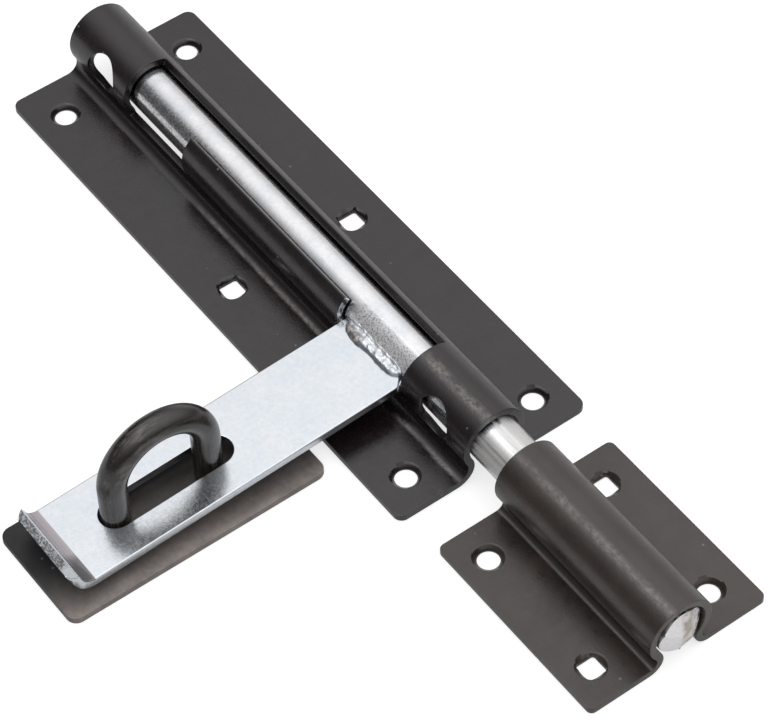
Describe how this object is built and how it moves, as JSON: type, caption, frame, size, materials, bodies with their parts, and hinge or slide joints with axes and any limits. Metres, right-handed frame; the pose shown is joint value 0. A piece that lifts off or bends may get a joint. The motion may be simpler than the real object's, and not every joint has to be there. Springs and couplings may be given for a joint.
{
  "type": "sliding bolt",
  "caption": "Surface-mounted sliding padlock bolt: round bar in a folded guide plate, welded slotted hasp over a staple on its own plate, and a separate folded keep.",
  "frame": {"origin": "on the plane of the plates' back faces, under the bar, midway between the four corner screw holes of the body plate", "axes": "+X along the bar in the direction of throw, towards the keep; +Y in the mounting plane, away from the hasp and staple; +Z out of the mounting plane, towards the user"},
  "size_m": [0.2972, 0.1653, 0.042],
  "materials": {
    "black": "satin black coat over folded sheet steel and rod",
    "zinc": "bright zinc plated steel, slightly mottled"
  },
  "bodies": {
    "case": {"body_plate": "black", "keep_plate": "black", "staple_plate": "black", "staple_loop": "black"},
    "bar": {"bolt_bar": "zinc"},
    "hasp": {"hasp_plate": "zinc", "weld_bead_top": "zinc", "weld_bead_under": "zinc"}
  },
  "joints": [
    {"name": "bolt_slide", "type": "slide", "parent": "case", "child": "bar", "axis": [1, 0, 0], "range_m": [-0.0006, 0.0004]},
    {"name": "hasp_turn", "type": "hinge", "parent": "bar", "child": "hasp", "pos_m": [0, 0, 0.0135], "axis": [-1, 0, 0], "range_deg": [-1.5, 95]}
  ]
}
